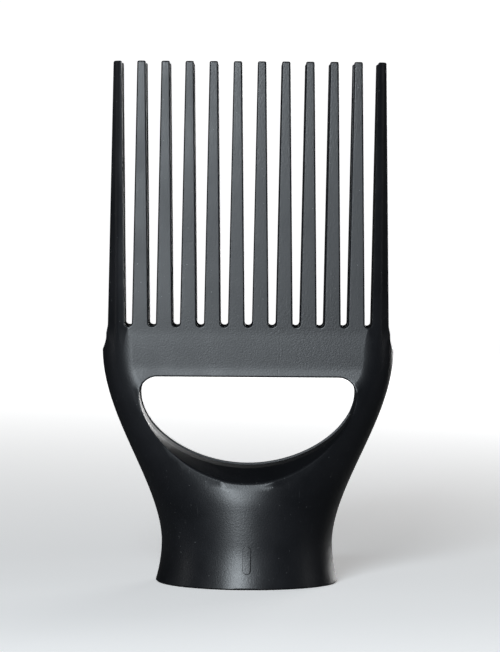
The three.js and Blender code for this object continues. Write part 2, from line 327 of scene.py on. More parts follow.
def clear_strips(piece: Piece, amount: Callable[[Vector], float]) -> None:
    """Dissolves the points beside sharp edges, inside the strip that the rounding takes.

    Args:
        piece: the solid, in edit mode.
        amount: gives the rounding in millimetres at a place.
    """
    mesh = bmesh.from_edit_mesh(piece.data)
    rims, along = set(), []
    for edge in sharp_edges(mesh):
        start, end = (vertex.co for vertex in edge.verts)
        rims.update(edge.verts)
        width = amount((start + end) / 2 / MM)
        if width > 0:
            count = max(int((end - start).length / (RIM_STEP * MM)), 1)
            along += [(start.lerp(end, step / count), width * MM) for step in range(count + 1)]
    tree = kdtree.KDTree(len(along))
    for index, (point, _) in enumerate(along):
        tree.insert(point, index)
    tree.balance()

    def crowds(vertex: Point) -> bool:
        """Tells whether a point lies inside the strip beside a rim."""
        _, index, distance = tree.find(vertex.co)
        return index is not None and distance < STRIP * along[index][1]

    choose_points(piece, {vertex for vertex in mesh.verts if vertex not in rims and crowds(vertex)})
    bpy.ops.mesh.dissolve_verts()


def round_edges(piece: Piece, amount: Callable[[Vector], float], widest: float, steps: int = 3) -> None:
    """Rounds the sharp outer edges of a solid, each by its own amount.

    Args:
        piece: the solid.
        amount: gives the rounding in millimetres at the middle of an edge, 0 for none.
        widest: the largest rounding, in millimetres.
        steps: the number of faces across a rounded edge.
    """
    focus(piece, editing=True)
    bpy.ops.mesh.select_mode(type="VERT")
    merge_rims(piece)
    clear_strips(piece, amount)
    mesh = bmesh.from_edit_mesh(piece.data)
    layers = mesh.edges.layers.float
    weights = layers.get("bevel_weight_edge") or layers.new("bevel_weight_edge")
    for edge in sharp_edges(mesh):
        middle = (edge.verts[0].co + edge.verts[1].co) / 2 / MM
        edge[weights] = min(max(amount(middle) / widest, 0.0), 1.0) if edge.is_convex else 0.0
    bmesh.update_edit_mesh(piece.data)
    leave_edit()
    strip = {"width": widest * MM, "segments": steps, "limit_method": "WEIGHT", "miter_outer": "MITER_ARC"}
    apply_modifier(piece, "BEVEL", use_clamp_overlap=False, loop_slide=False, **strip)


def shade(piece: Piece, angle: float = 35.0) -> None:
    """Shades a solid smoothly, except across its sharp edges.

    Args:
        piece: the solid.
        angle: the angle in degrees past which an edge stays sharp.
    """
    focus(piece)
    bpy.ops.object.shade_smooth_by_angle(angle=math.radians(angle))
    apply_modifier(piece, "WEIGHTED_NORMAL", weight=70, keep_sharp=True)


# ---- The outer form --------------------------------------------------------


def smooth(start: float, end: float, value: float) -> float:
    """Rises gently from 0 at start to 1 at end."""
    share = min(max((value - start) / (end - start), 0.0), 1.0)
    return share * share * (3 - 2 * share)


@dataclass(frozen=True)
class Section:
    """One level of the nozzle's outside: a flat middle with two rounded ends, in millimetres."""

    height: float
    flat: float
    end: float
    depth: float


@dataclass(frozen=True)
class OuterForm:
    """The nozzle's outside, from the round collar to the tips of the teeth, in millimetres."""

    collar: float = 27.0
    waist: float = 25.15
    waist_height: float = 12.0
    foot_edge: float = 0.7
    head: float = 42.9
    head_height: float = 68.5
    head_depth: float = 10.0
    head_end: float = 9.5
    flare: float = 0.93
    shoulder_start: float = 24.0
    shoulder_end: float = 64.0
    slot_floor: float = 75.5
    tip_height: float = 153.0
    tip_depth: float = 12.0
    sides: int = 192
    slide_levels: tuple[float, ...] = (68.5, 70.6, 72.7, 74.8)
    foot_shares: tuple[float, ...] = (0, 0.08, 0.3, 0.6, 1)
    collar_step: float = 2.0
    neck_bottom: float = 11.85
    neck_step: float = 1.1
    neck_rings: int = 51
    ring_gap: float = 0.4
    inner_share: float = 0.38
    inner_columns: tuple[float, float, int] = (34.75, 0.4, 3)
    outer_share: float = 0.62
    outer_columns: tuple[float, float, int] = (38.1, 0.275, 5)
    end_columns: int = 6
    end_turn: float = 0.084

    def half_width(self, z: float) -> float:
        """Gives half the width of the outside at a height."""
        if z < self.waist_height:
            below = (self.waist_height - z) / self.waist_height
            return self.waist + (self.collar - self.waist) * below * below
        rise = min((z - self.waist_height) / (self.head_height - self.waist_height), 1.0)
        return self.waist + (self.head - self.waist) * smooth(0, 1, rise**self.flare)

    def half_depth(self, z: float) -> float:
        """Gives half the depth of the outside at a height."""
        around = self.half_width(z) if z < self.waist_height else self.waist
        share = smooth(self.shoulder_start, self.shoulder_end, z)
        splay = min(max((z - self.slot_floor) / (self.tip_height - self.slot_floor), 0.0), 1.0)
        flat = around + (self.head_depth - around) * share
        return flat + splay * (self.tip_depth - self.head_depth)

    def section(self, z: float, inset: float = 0.0) -> Section:
        """Gives the oval at a height.

        Args:
            z: the height.
            inset: how far the outline is drawn inwards.

        Returns:
            The section's middle, rounded end and depth.
        """
        width = self.half_width(z)
        end = width + (self.head_end - width) * smooth(self.shoulder_start, self.shoulder_end, z)
        below = max(1 - z / self.foot_edge, 0.0)
        inwards = inset + self.foot_edge * (1 - math.sqrt(1 - below * below))
        return Section(z, width - end, end - inwards, self.half_depth(z) - inwards)

    def levels(self, bottom: float, top: float) -> list[float]:
        """Gives the heights that need a ring, close together where the outside curves.

        Args:
            bottom: the lowest height.
            top: the highest height.

        Returns:
            The heights from low to high.
        """
        foot = [self.foot_edge * share for share in self.foot_shares] if bottom == 0 else []
        collar = [self.collar_step * step for step in range(1, 6)]
        neck = [self.neck_bottom + self.neck_step * step for step in range(self.neck_rings)]
        marks = [*foot, *collar, *neck, *self.slide_levels, self.tip_height]
        gap = self.ring_gap
        return [bottom, *[z for z in marks if bottom + gap < z < top - gap], top]

    def solid(self, name: str, bottom: float, top: float, inset: float = 0.0) -> Piece:
        """Raises a ring of points level by level into a closed solid.

        Args:
            name: the solid's name.
            bottom: the height of its lower end.
            top: the height of its upper end.
            inset: how far the whole form is drawn in.

        Returns:
            The closed solid.
        """
        leave_edit()
        levels = self.levels(bottom, top)
        now = self.section(levels[0], inset)
        ring = {"vertices": self.sides, "fill_type": "NGON", "rotation": (0, 0, math.pi / 2)}
        bpy.ops.mesh.primitive_circle_add(radius=1.0, location=(0, 0, now.height * MM), **ring)
        solid = bpy.context.object
        solid.name = name
        bpy.ops.object.transform_apply(location=True, rotation=True, scale=True)
        bpy.ops.object.mode_set(mode="EDIT")
        bpy.ops.mesh.select_all(action="SELECT")
        self._reshape(solid, Section(now.height, 0.0, 1 / MM, 1 / MM), now)
        for level in levels[1:]:
            after = self.section(level, inset)
            rise = (0, 0, (after.height - now.height) * MM)
            bpy.ops.mesh.extrude_region_move(TRANSFORM_OT_translate={"value": rise})
            self._reshape(solid, now, after)
            if level in self.slide_levels[1:]:
                self._gather(solid, after, self.slide_levels.index(level))
            now = after
        tidy(solid)
        return solid

    @staticmethod
    def _reshape(solid: Piece, before: Section, after: Section) -> None:
        """Turns the selected ring from one section's oval into another's.

        Args:
            solid: the mesh in edit mode, with the ring selected.
            before: the ring's oval as it is.
            after: the oval that it becomes, at the same height.
        """
        mesh = bmesh.from_edit_mesh(solid.data)
        ring = [vertex for vertex in mesh.verts if vertex.select]
        deeper = after.depth / before.depth
        for side in (-1, 0, 1):
            choose(solid, ring, lambda at: (at.x > TINY) - (at.x < -TINY) == side)
            centre = (side * before.flat * MM, 0, 0)
            wider = after.end / before.end if side else 1.0
            bpy.ops.transform.resize(value=(wider, deeper, 1), center_override=centre)
            bpy.ops.transform.translate(value=(side * (after.flat - before.flat) * MM, 0, 0))
        choose(solid, ring, lambda at: True)

    def _slid(self, angle: float, share: float, oval: Section) -> Pair:
        """Gives the place of a point that slides round the oval, away from the teeth's edges.

        Args:
            angle: the point's angle before it slides.
            share: how far it has slid, from 0 to 1.
            oval: the section that it stays on.

        Returns:
            The point's distance to the side and to the front, in millimetres.
        """
        across = math.cos(angle)
        if across < self.inner_share:
            first, apart, count = self.inner_columns
            goal = first + apart * int(across / self.inner_share * (count - 0.01))
        elif across < self.outer_share:
            first, apart, count = self.outer_columns
            share_in = (across - self.inner_share) / (self.outer_share - self.inner_share)
            goal = first + apart * int(share_in * (count - 0.01))
        else:
            column = int(angle / math.acos(self.outer_share) * (self.end_columns + 0.01))
            goal = oval.flat + oval.end * math.cos(self.end_turn * column)
        x = oval.flat + oval.end * across
        x += (goal - x) * share
        part = min(max((x - oval.flat) / oval.end, 0.0), 1.0)
        return x, oval.depth * math.sqrt(1 - part * part)

    def _gather(self, solid: Piece, oval: Section, stage: int) -> None:
        """Slides the points of the selected ring one stage further between the teeth.

        Args:
            solid: the mesh in edit mode, with the ring selected.
            oval: the ring's section.
            stage: which of the rings on the way it is.
        """
        mesh = bmesh.from_edit_mesh(solid.data)
        ring = [vertex for vertex in mesh.verts if vertex.select]
        columns = self.sides // 4
        stages = len(self.slide_levels) - 1
        angles = [2 * math.pi * step / self.sides for step in range(columns)]
        before = [self._slid(angle, (stage - 1) / stages, oval) for angle in angles]
        after = [self._slid(angle, stage / stages, oval) for angle in angles]
        groups: list[list[Point]] = [[] for _ in range(columns)]
        for vertex in ring:
            if abs(vertex.co.x) > TINY:
                x, y = abs(vertex.co.x) / MM, abs(vertex.co.y) / MM
                nearest = min(range(columns), key=lambda k: abs(before[k][0] - x) + abs(before[k][1] - y))
                groups[nearest].append(vertex)
        for group, (x, y), (new_x, new_y) in zip(groups, before, after):
            choose_points(solid, set(group))
            deeper = new_y / y if y > TINY / MM else 1.0
            bpy.ops.transform.resize(value=(new_x / x, deeper, 1), center_override=(0, 0, 0))
        choose_points(solid, set(ring))


@dataclass(frozen=True)
class Hollow:
    """What is cut out of the form: window, scoops, air way and bore, in millimetres."""

    form: OuterForm = OuterForm()
    wall: float = 2.4
    bore: float = 23.15
    groove_top: float = 22.6
    overrun: float = 5.0
    lap: float = 0.3
    window_half: float = 31.7
    window_top: float = 60.8
    window_side: float = 55.6
    window_bottom: float = 34.2
    fullness: float = 1.9
    fullness_pull: float = 0.518
    scoop_depth: float = 12.0
    scoop_reach: float = 54.0
    scoop_slope: float = 0.29
    window_steps: int = 26
    core: float = 0.01

    def outline(self, margin: float = 0.0) -> list[Knot]:
        """Draws the window from the front, grown by a margin.

        Args:
            margin: how far the outline moves outwards.

        Returns:
            The outline's knots, anticlockwise from the right side.
        """
        half = self.window_half + margin
        drop = self.window_side - self.window_bottom + margin
        corner = self.window_top - self.window_side + margin
        pull = self.fullness_pull
        right, *arc = bend((half - corner, self.window_side), corner, 0, 1)
        *arc_left, left = bend((corner - half, self.window_side), corner, 90, 1)
        return [
            Knot(right.at, (0.0, -pull * drop), right.ahead),
            *arc,
            *arc_left,
            Knot(left.at, left.back, (0.0, -pull * drop)),
            Knot((0.0, self.window_side - drop), (-pull * half, 0.0), (pull * half, 0.0)),
        ]

    def edge_of_window(self, at: Vector) -> float:
        """Tells how far outside the window a place is, roughly, in millimetres."""
        if at.z > self.window_side:
            corner = self.window_top - self.window_side
            across = max(abs(at.x) - (self.window_half - corner), 0.0)
            return math.hypot(across, at.z - self.window_side) - corner
        drop = self.window_side - self.window_bottom
        across = (abs(at.x) / self.window_half) ** self.fullness
        down = ((self.window_side - at.z) / drop) ** self.fullness
        return ((across + down) ** (1 / self.fullness) - 1) * drop

    def window(self, margin: float = 0.0, half_length: float = FAR) -> Piece:
        """Makes the solid that fills the window right through, grown by a margin."""
        return prism("window", self.outline(margin), -half_length, half_length, steps=self.window_steps)

    def scoop(self, side: Side, margin: float = 0.0) -> Piece:
        """Makes the solid that widens the window towards the front or the rear.

        Args:
            side: the way it opens.
            margin: how far its walls move outwards.

        Returns:
            The closed solid, a cone on the window's outline.
        """
        start = self.scoop_depth - margin
        near, far = sorted((side.value * start, side.value * (start + 1)))
        solid = prism("scoop", self.outline(margin), near, far, steps=self.window_steps)
        focus(solid, editing=True)
        mesh = bmesh.from_edit_mesh(solid.data)
        mouth = side.value * (start + 1) * MM
        choose(solid, list(mesh.verts), lambda at: abs(at.y - mouth) < TINY)
        grown = self.scoop_reach * self.scoop_slope
        wide = 1 + grown / (self.window_half + margin)
        tall = 1 + grown / (self.window_side - self.window_bottom + margin)
        outwards = (0, side.value * (self.scoop_reach - 1) * MM, 0)
        bpy.ops.transform.translate(value=outwards)
        bpy.ops.transform.resize(value=(wide, 1, tall), center_override=(0, 0, self.window_side * MM))
        leave_edit()
        return solid

    def drum(self, radius: float, bottom: float, top: float) -> Piece:
        """Makes a plain disc about the axis."""
        return turned("drum", [(self.core, bottom), (radius, bottom), (radius, top), (self.core, top)])

    def airway(self, clearance: float = 0.0) -> Piece:
        """Makes the space inside the walls.

        Args:
            clearance: how far it is drawn in further.

        Returns:
            The closed solid.
        """
        inset = self.wall + clearance
        top = self.form.tip_height + self.overrun
        space = self.form.solid("airway", self.groove_top, top, inset)
        combine(space, Join.CUT, self.scoop(Side.FRONT, inset), self.scoop(Side.REAR, inset))
        bore = self.drum(self.bore - clearance, -self.overrun, self.groove_top + self.lap)
        return combine(space, Join.ADD, bore)


@dataclass(frozen=True)
class CombShells:
    """The two moulded half shells with their rows of teeth, in millimetres."""

    hollow: Hollow = Hollow()
    teeth: int = 12
    row_inset: float = 1.8
    root: float = 4.9
    tip: float = 2.5
    gap: float = 9.6
    tip_gap: float = 13.0
    seam: float = 0.3
    groove_radius: float = 24.1
    groove_bottom: float = 19.1
    mark_width: float = 2.4
    mark_low: float = 4.5
    mark_high: float = 12.5
    mark_relief: float = 0.4
    tooth_edge: float = 0.5
    valley_edge: float = 0.2
    rim_edge: float = 0.5
    crease_edge: float = 0.65
    seam_edge: float = 0.12
    bore_edge: float = 0.3
    mark_edge: float = 0.16
    near: float = 0.5
    touch: float = 0.02
    rim_reach: float = 0.4
    crease_start: float = 0.7
    crease_run: float = 1.5
    valley_fade: float = 2.0
    end_fade: Pair = (0.0, 6.0)
    end_growth: Pair = (10.0, 60.0)

    @property
    def pitch(self) -> float:
        """Gives the distance from one tooth to the next."""
        row = 2 * (self.hollow.form.head - self.row_inset)
        return (row - self.root) / (self.teeth - 1)

    @property
    def valley(self) -> float:
        """Gives the height of the shoulders, at the ends of the gap between the rows."""
        return self.hollow.form.head_height + self.gap / 2

    def comb_outline(self) -> list[Knot]:
        """Draws the comb from the front.

        Returns:
            The outline of all that is below the slots, and of the teeth.
        """
        form = self.hollow.form
        slot = (self.pitch - self.root) / 2
        foot = form.slot_floor + slot
        half = self.tip / 2
        side = form.head - form.head_end * (1 - math.sqrt(1 - (self.gap / 2 / form.head_depth) ** 2))
        left = [(-FAR, -FAR), (-FAR, self.valley), (-side, self.valley)]
        knots = [Knot(at) for at in left]
        for tooth in range(self.teeth):
            x = (tooth - (self.teeth - 1) / 2) * self.pitch
            if tooth == 0:
                knots.append(Knot((x - self.root / 2, foot)))
            knots += [Knot((x - half, form.tip_height)), Knot((x + half, form.tip_height))]
            if tooth < self.teeth - 1:
                knots += bend((x + self.pitch / 2, foot), slot, 180, 2)
            else:
                knots.append(Knot((x + self.root / 2, foot)))
        return [*knots, *(Knot((-x, z)) for x, z in reversed(left))]

    def row_outline(self) -> list[Knot]:
        """Draws the comb from the side.

        Returns:
            The outline of the two rows of teeth, with the gap between them.
        """
        half, top = self.tip_gap / 2, self.hollow.form.tip_height
        beyond = top + self.hollow.overrun
        left = [(-FAR, -FAR), (-FAR, beyond), (-half, beyond), (-half, top)]
        right = [(half, top), (half, beyond), (FAR, beyond), (FAR, -FAR)]
        valley = bend((0.0, self.valley), self.gap / 2, 180, 2)
        return [*(Knot(at) for at in left), *valley, *(Knot(at) for at in right)]

    def mark(self) -> Piece:
        """Makes the raised index bar on the front of the collar.

        Returns:
            The closed solid, which reaches into the wall.
        """
        form = self.hollow.form
        radius = self.mark_width / 2
        top = bend((0.0, self.mark_high - radius), radius, 0, 2)
        low = bend((0.0, self.mark_low + radius), radius, 180, 2)
        bar = prism("mark", [*top, *low], -FAR, 0)
        skin = form.solid("skin", form.foot_edge, form.shoulder_start, -self.mark_relief)
        core = form.solid("core", 0, form.shoulder_start + self.hollow.overrun, self.hollow.wall / 2)
        combine(bar, Join.KEEP, skin)
        return combine(bar, Join.CUT, core)

    def whole(self) -> Piece:
        """Makes both shells as one solid.

        Returns:
            The closed solid, with crisp edges.
        """
        hollow, form = self.hollow, self.hollow.form
        body = form.solid("body", 0, form.tip_height + hollow.lap)
        combine(body, Join.KEEP, prism("comb", self.comb_outline(), -FAR, FAR))
        combine(body, Join.KEEP, prism("rows", self.row_outline(), -FAR, FAR, View.SIDE))
        combine(body, Join.CUT, hollow.scoop(Side.FRONT), hollow.scoop(Side.REAR))
        combine(body, Join.ADD, self.mark())
        combine(body, Join.CUT, hollow.airway(), hollow.window())
        groove = hollow.drum(self.groove_radius, self.groove_bottom, hollow.groove_top)
        return combine(body, Join.CUT, groove)

    def half(self, whole: Piece, side: Side, name: str) -> Piece:
        """Takes one shell out of the whole and rounds its edges.

        Args:
            whole: both shells as one.
            side: the half that is kept.
            name: the shell's name.

        Returns:
            The finished shell.
        """
        shell = twin_of(whole, name)
        near, far = sorted((side.value * self.seam / 2, side.value * FAR))
        box = [Knot(corner) for corner in ((-FAR, -FAR), (FAR, -FAR), (FAR, 2 * FAR), (-FAR, 2 * FAR))]
        combine(shell, Join.KEEP, prism("half", box, near, far))
        round_edges(shell, self.rounding, self.crease_edge)
        shade(shell)
        return shell

    def rounding(self, at: Vector) -> float:
        """Tells how much an edge is rounded.

        Args:
            at: the middle of the edge, in millimetres.

        Returns:
            The rounding, 0 for an edge inside the walls.
        """
        hollow, form = self.hollow, self.hollow.form
        radius, depth = math.hypot(at.x, at.y), abs(at.y)
        if abs(depth - self.seam / 2) < self.touch:
            return self.seam_edge
        if at.z > form.head_height - self.near:
            return self._comb_rounding(at)
        if at.z < self.near and radius < hollow.bore + self.near:
            return self.bore_edge
        if at.z < self.mark_high + 2 * self.near:
            on_mark = abs(at.x) < self.mark_width and radius > hollow.bore + 2 * self.near
            return self.mark_edge if on_mark else 0.0
        oval = form.section(at.z, hollow.wall / 2)
        across = max(abs(at.x) - oval.flat, 0.0) / oval.end
        outside = across**2 + (depth / oval.depth) ** 2 > 1
        beyond = hollow.edge_of_window(at)
        if abs(beyond) < self.rim_reach and depth < hollow.scoop_depth + self.touch:
            return self.rim_edge if outside or depth > hollow.scoop_depth - self.near else 0.0
        if outside and beyond > 0 and depth > hollow.scoop_depth:
            return self.crease_edge * min(max((beyond - self.crease_start) / self.crease_run, 0.0), 1.0)
        return 0.0

    def _comb_rounding(self, at: Vector) -> float:
        """Tells how much an edge of the teeth or of the gap between the rows is rounded.

        Args:
            at: the middle of the edge, in millimetres.

        Returns:
            The rounding, which fades out where the end teeth grow out of the shoulders.
        """
        form = self.hollow.form
        if abs(at.x) < form.head - self.row_inset - self.root / 2:
            return self.tooth_edge
        up = at.z - self.valley
        if up < 0:
            return self.valley_edge * (1 - smooth(-self.valley_fade, 0.0, up))
        return self.tooth_edge * (smooth(*self.end_fade, up) + smooth(*self.end_growth, up)) / 2


# ---- Inner pieces ----------------------------------------------------------


@dataclass(frozen=True)
class WindowLiner:
    """The band that closes the window between the two shells, in millimetres."""

    hollow: Hollow = Hollow()
    setback: float = 0.4
    wall: float = 1.6
    fit: float = 0.3

    def build(self) -> Piece:
        """Makes the band.

        Returns:
            The finished band, with crisp front and rear edges.
        """
        band = self.hollow.window(self.setback + self.wall)
        band.name = "liner_band"
        combine(band, Join.CUT, self.hollow.window(self.setback, 2 * FAR))
        combine(band, Join.KEEP, self.hollow.airway(self.fit))
        shade(band)
        return band


@dataclass(frozen=True)
class Coupling:
    """The sleeve that takes the dryer's barrel, with its ring, seal and springs, in millimetres."""

    socket: float = 21.45
    outer: float = 22.85
    flange: float = 23.8
    bottom: float = 0.8
    top: float = 22.3
    flange_bottom: float = 20.5
    stop: float = 20.05
    seal_top: float = 21.1
    seal_bottom: float = 18.5
    seal_bore: float = 20.45
    seal_outer: float = 21.95
    lead_in: float = 0.6
    fit: float = 0.3
    ring_bore: float = 23.15
    ring_bottom: float = 19.4
    ring_top: float = 20.2
    spring_top: float = 16.4
    spring_shank: float = 13.4
    spring_bottom: float = 4.4
    spring_half: float = 2.75
    spring_inner: float = 21.7
    spring_outer: float = 22.3
    spring_bulge: float = 0.7
    spring_steps: int = 16
    rim_height: float = 1.0
    edge: float = 0.25
    fine_edge: float = 0.1
    ring_edge: float = 0.12
    pocket_corner: float = 0.5
    pocket_steps: int = 6
    lip_rise: float = 0.55
    lip_round: float = 0.12
    lip_crest: float = 0.45
    lip_end: float = 0.75
    seal_crease: float = 50.0

    @staticmethod
    def at_quarter(piece: Piece, quarter: int) -> Piece:
        """Turns a piece from the front to one of the four places round the sleeve.

        Args:
            piece: the piece, at the front.
            quarter: the number of quarter turns.

        Returns:
            The same piece.
        """
        focus(piece)
        piece.rotation_euler = (0, 0, quarter * math.pi / 2)
        bpy.ops.object.transform_apply(location=True, rotation=True, scale=True)
        return piece

    def pocket(self) -> Piece:
        """Makes the solid that cuts the front spring's pocket.

        Returns:
            The closed solid, with rounded corners.
        """
        corner = self.pocket_corner
        across = self.spring_half + self.fit - corner
        low = self.spring_bottom - self.fit + corner
        high = self.spring_top + self.fit - corner
        centres = ((across, high), (-across, high), (-across, low), (across, low))
        corners = [bend(centre, corner, 90 * index, 1) for index, centre in enumerate(centres)]
        outline = [knot for knots in corners for knot in knots]
        inside, outside = self.lead_in - self.socket, -self.flange - self.fit
        return prism("pocket", outline, outside, inside, steps=self.pocket_steps)

    def sleeve(self) -> Piece:
        """Makes the swivel sleeve.

        Returns:
            The finished sleeve with its flange, stop, seal seat and pockets.
        """
        seat_top, seat_bottom = self.seal_top + self.fit, self.seal_bottom - self.fit
        seat = self.seal_outer + self.fit
        body = turned(
            "swivel_sleeve",
            [
                (self.socket + self.lead_in, self.bottom),
                (self.outer, self.bottom),
                (self.outer, self.flange_bottom),
                (self.flange, self.flange_bottom),
                (self.flange, self.top),
                (self.stop, self.top),
                (self.stop, seat_top),
                (seat, seat_top),
                (seat, seat_bottom),
                (self.socket, seat_bottom),
                (self.socket, self.bottom + self.lead_in),
            ],
        )
        for quarter in range(4):
            combine(body, Join.CUT, self.at_quarter(self.pocket(), quarter))
        round_edges(body, self._sleeve_rounding, self.edge)
        shade(body)
        return body

    def _sleeve_rounding(self, at: Vector) -> float:
        """Tells how much an edge of the sleeve is rounded, in millimetres."""
        in_pocket = self.bottom + self.rim_height < at.z < self.seal_bottom - self.rim_height
        return self.fine_edge if in_pocket else self.edge

    def seal(self) -> Piece:
        """Makes the soft ring that presses on the barrel.

        Returns:
            The finished ring, with two lips on its inside.
        """
        low, high, lip = self.seal_bottom, self.seal_top, self.seal_bore
        root, slope = lip + self.lip_rise, lip + self.lip_round
        rise = [(slope, self.lip_round), (lip, self.lip_crest), (slope, self.lip_end)]
        upper = [(radius, high - away) for radius, away in rise]
        lower = [(radius, low + away) for radius, away in reversed(rise)]
        back = [(self.seal_outer, low), (self.seal_outer, high), (root, high)]
        ring = turned("lip_seal", [*back, *upper, (root, (low + high) / 2), *lower, (root, low)])
        shade(ring, self.seal_crease)
        return ring

    def ring(self) -> Piece:
        """Makes the flat glide ring with rounded edges."""
        low, high, inner, outer = self.ring_bottom, self.ring_top, self.ring_bore, self.flange
        ring = turned("bearing_ring", [(inner, low), (outer, low), (outer, high), (inner, high)])
        round_edges(ring, lambda at: self.ring_edge, self.ring_edge)
        shade(ring)
        return ring

    def spring(self, quarter: int, name: str) -> Piece:
        """Makes one bowed leaf spring.

        Args:
            quarter: its place round the sleeve, counted from the front.
            name: its name.

        Returns:
            The finished leaf.
        """
        inner, outer, bulge = -self.spring_inner, -self.spring_outer, 4 / 3 * self.spring_bulge
        third = (self.spring_shank - self.spring_bottom) / 3
        outline = [
            Knot((outer, self.spring_top)),
            Knot((outer, self.spring_shank), ahead=(bulge, -third)),
            Knot((outer, self.spring_bottom), back=(bulge, third)),
            Knot((inner, self.spring_bottom), ahead=(bulge, third)),
            Knot((inner, self.spring_shank), back=(bulge, -third)),
            Knot((inner, self.spring_top)),
        ]
        half = self.spring_half
        leaf = prism(name, outline, -half, half, View.SIDE, self.spring_steps)
        leaf.name = name
        round_edges(leaf, lambda at: self.fine_edge, self.fine_edge)
        shade(leaf)
        return self.at_quarter(leaf, quarter)


# ---- Finishes --------------------------------------------------------------


class Sketch:
    """Lays shader nodes and joins them, from left to right."""

    spacing: float = 200.0

    def __init__(self, tree: NodeTree) -> None:
        """Starts on a node tree."""
        self.tree = tree
        self.column = 0

    def feed(self, socket: Socket, value: object) -> None:
        """Joins a socket to an output, or sets it to a value.

        Args:
            socket: the input.
            value: an output socket, or a number, colour or vector.
        """
        if isinstance(value, Socket):
            self.tree.links.new(value, socket)
        else:
            socket.default_value = value

    def add(self, kind: str, inputs: Optional[dict] = None, **settings: object) -> bpy.types.Node:
        """Adds one node.

        Args:
            kind: Blender's name for the node.
            inputs: what each input takes, by its name or number.
            settings: the node's own choices.

        Returns:
            The node.
        """
        node = self.tree.nodes.new(kind)
        node.location = (self.column * self.spacing, 0)
        self.column += 1
        for name, value in settings.items():
            setattr(node, name, value)
        for name, value in (inputs or {}).items():
            self.feed(node.inputs[name], value)
        return node

    def math(self, operation: str, first: object, second: object) -> Socket:
        """Works out one sum of two values or sockets."""
        return self.add("ShaderNodeMath", {0: first, 1: second}, operation=operation).outputs[0]

    def noise(self, place: object, scale: object, detail: float, rough: float = 0.5) -> Socket:
        """Adds soft noise on a position and gives its value."""
        values = {"Vector": place, "Scale": scale, "Detail": detail, "Roughness": rough}
        return self.add("ShaderNodeTexNoise", values).outputs[0]

    def span(self, value: object, before: Pair, after: Pair = (0.0, 1.0)) -> Socket:
        """Maps a value from one range to another, held at the ends."""
        names = ("Value", "From Min", "From Max", "To Min", "To Max")
        return self.add("ShaderNodeMapRange", dict(zip(names, (value, *before, *after)))).outputs[0]

    def blend(self, share: object, first: object, second: object) -> Socket:
        """Mixes two colours by a share."""
        node = self.add("ShaderNodeMix", {0: share}, data_type="RGBA")
        self.feed(node.inputs[6], first)
        self.feed(node.inputs[7], second)
        return node.outputs[2]


def effect(name: str, number: str, gives: Sequence[str]) -> tuple[Sketch, dict, dict]:
    """Starts a shared effect as a node group on a position and one number.

    Args:
        name: the effect's name.
        number: the name of its number input.
        gives: the names of the numbers that it puts out.

    Returns:
        The sketch, the group's inputs by name and its outputs by name.
    """
    tree = bpy.data.node_groups.new(name, "ShaderNodeTree")
    tree.interface.new_socket("Position", in_out="INPUT", socket_type="NodeSocketVector")
    tree.interface.new_socket(number, in_out="INPUT", socket_type="NodeSocketFloat")
    for label in gives:
        tree.interface.new_socket(label, in_out="OUTPUT", socket_type="NodeSocketFloat")
    sketch = Sketch(tree)
    start, end = sketch.add("NodeGroupInput"), sketch.add("NodeGroupOutput")
    return sketch, dict(start.outputs.items()), dict(end.inputs.items())


@dataclass(frozen=True)
class MouldedGrain:
    """The fine spark-eroded texture that a mould leaves on plastic."""

    detail: float = 3.0
    noise_share: float = 0.7
    cloud_scale: float = 55.0
    cloud_detail: float = 4.0
    cloud_rough: float = 0.55

    def group(self) -> NodeTree:
        """Makes the node group.

        Returns:
            A group that puts out the height of the grain and a slow cloudiness.
        """
        sketch, takes, gives = effect("moulded_grain", "Fineness", ("Grain", "Cloud"))
        place, fineness = takes["Position"], takes["Fineness"]
        fine = sketch.noise(place, fineness, self.detail)
        cells = sketch.add("ShaderNodeTexVoronoi", {"Vector": place, "Scale": fineness})
        pits = sketch.math("MULTIPLY", cells.outputs["Distance"], 1 - self.noise_share)
        grain = sketch.math("ADD", sketch.math("MULTIPLY", fine, self.noise_share), pits)
        cloud = sketch.noise(place, self.cloud_scale, self.cloud_detail, self.cloud_rough)
        sketch.feed(gives["Grain"], grain)
        sketch.feed(gives["Cloud"], cloud)
        return sketch.tree


@dataclass(frozen=True)
class HandlingWear:
    """The marks of handling: hairline scratches, smudges and specks of dust."""

    stretch: Triple = (1.0, 1.0, 0.045)
    lean: Triple = (0.06, 0.11, 0.0)
    scratch_scale: float = 1900.0
    scratch_range: Pair = (0.69, 0.74)
    patch_scale: float = 90.0
    patch_range: Pair = (0.5, 0.62)
    smudge_scale: float = 38.0
    smudge_rough: float = 0.6
    smudge_range: Pair = (0.42, 0.68)
    dust_scale: float = 1500.0
    dust_range: Pair = (0.76, 0.8)

    def group(self) -> NodeTree:
        """Makes the node group.

        Returns:
            A group that puts out masks for scratches, smudges and dust.
        """
        sketch, takes, gives = effect("handling_wear", "Amount", ("Scratches", "Smudges", "Dust"))
        place = takes["Position"]
        mapping = {"Vector": place, "Scale": self.stretch, "Rotation": self.lean}
        stretched = sketch.add("ShaderNodeMapping", mapping).outputs[0]
        hairlines = sketch.span(sketch.noise(stretched, self.scratch_scale, 1.0), self.scratch_range)
        patches = sketch.span(sketch.noise(place, self.patch_scale, 2.0), self.patch_range)
        smudges = sketch.noise(place, self.smudge_scale, 3.0, self.smudge_rough)
        masks = {
            "Scratches": sketch.math("MULTIPLY", hairlines, patches),
            "Smudges": sketch.span(smudges, self.smudge_range),
            "Dust": sketch.span(sketch.noise(place, self.dust_scale, 1.0), self.dust_range),
        }
        for name, mask in masks.items():
            sketch.feed(gives[name], sketch.math("MULTIPLY", mask, takes["Amount"]))
        return sketch.tree


@dataclass(frozen=True)
class Effects:
    """The shared node groups that the finishes are made with."""

    grain: NodeTree
    wear: NodeTree


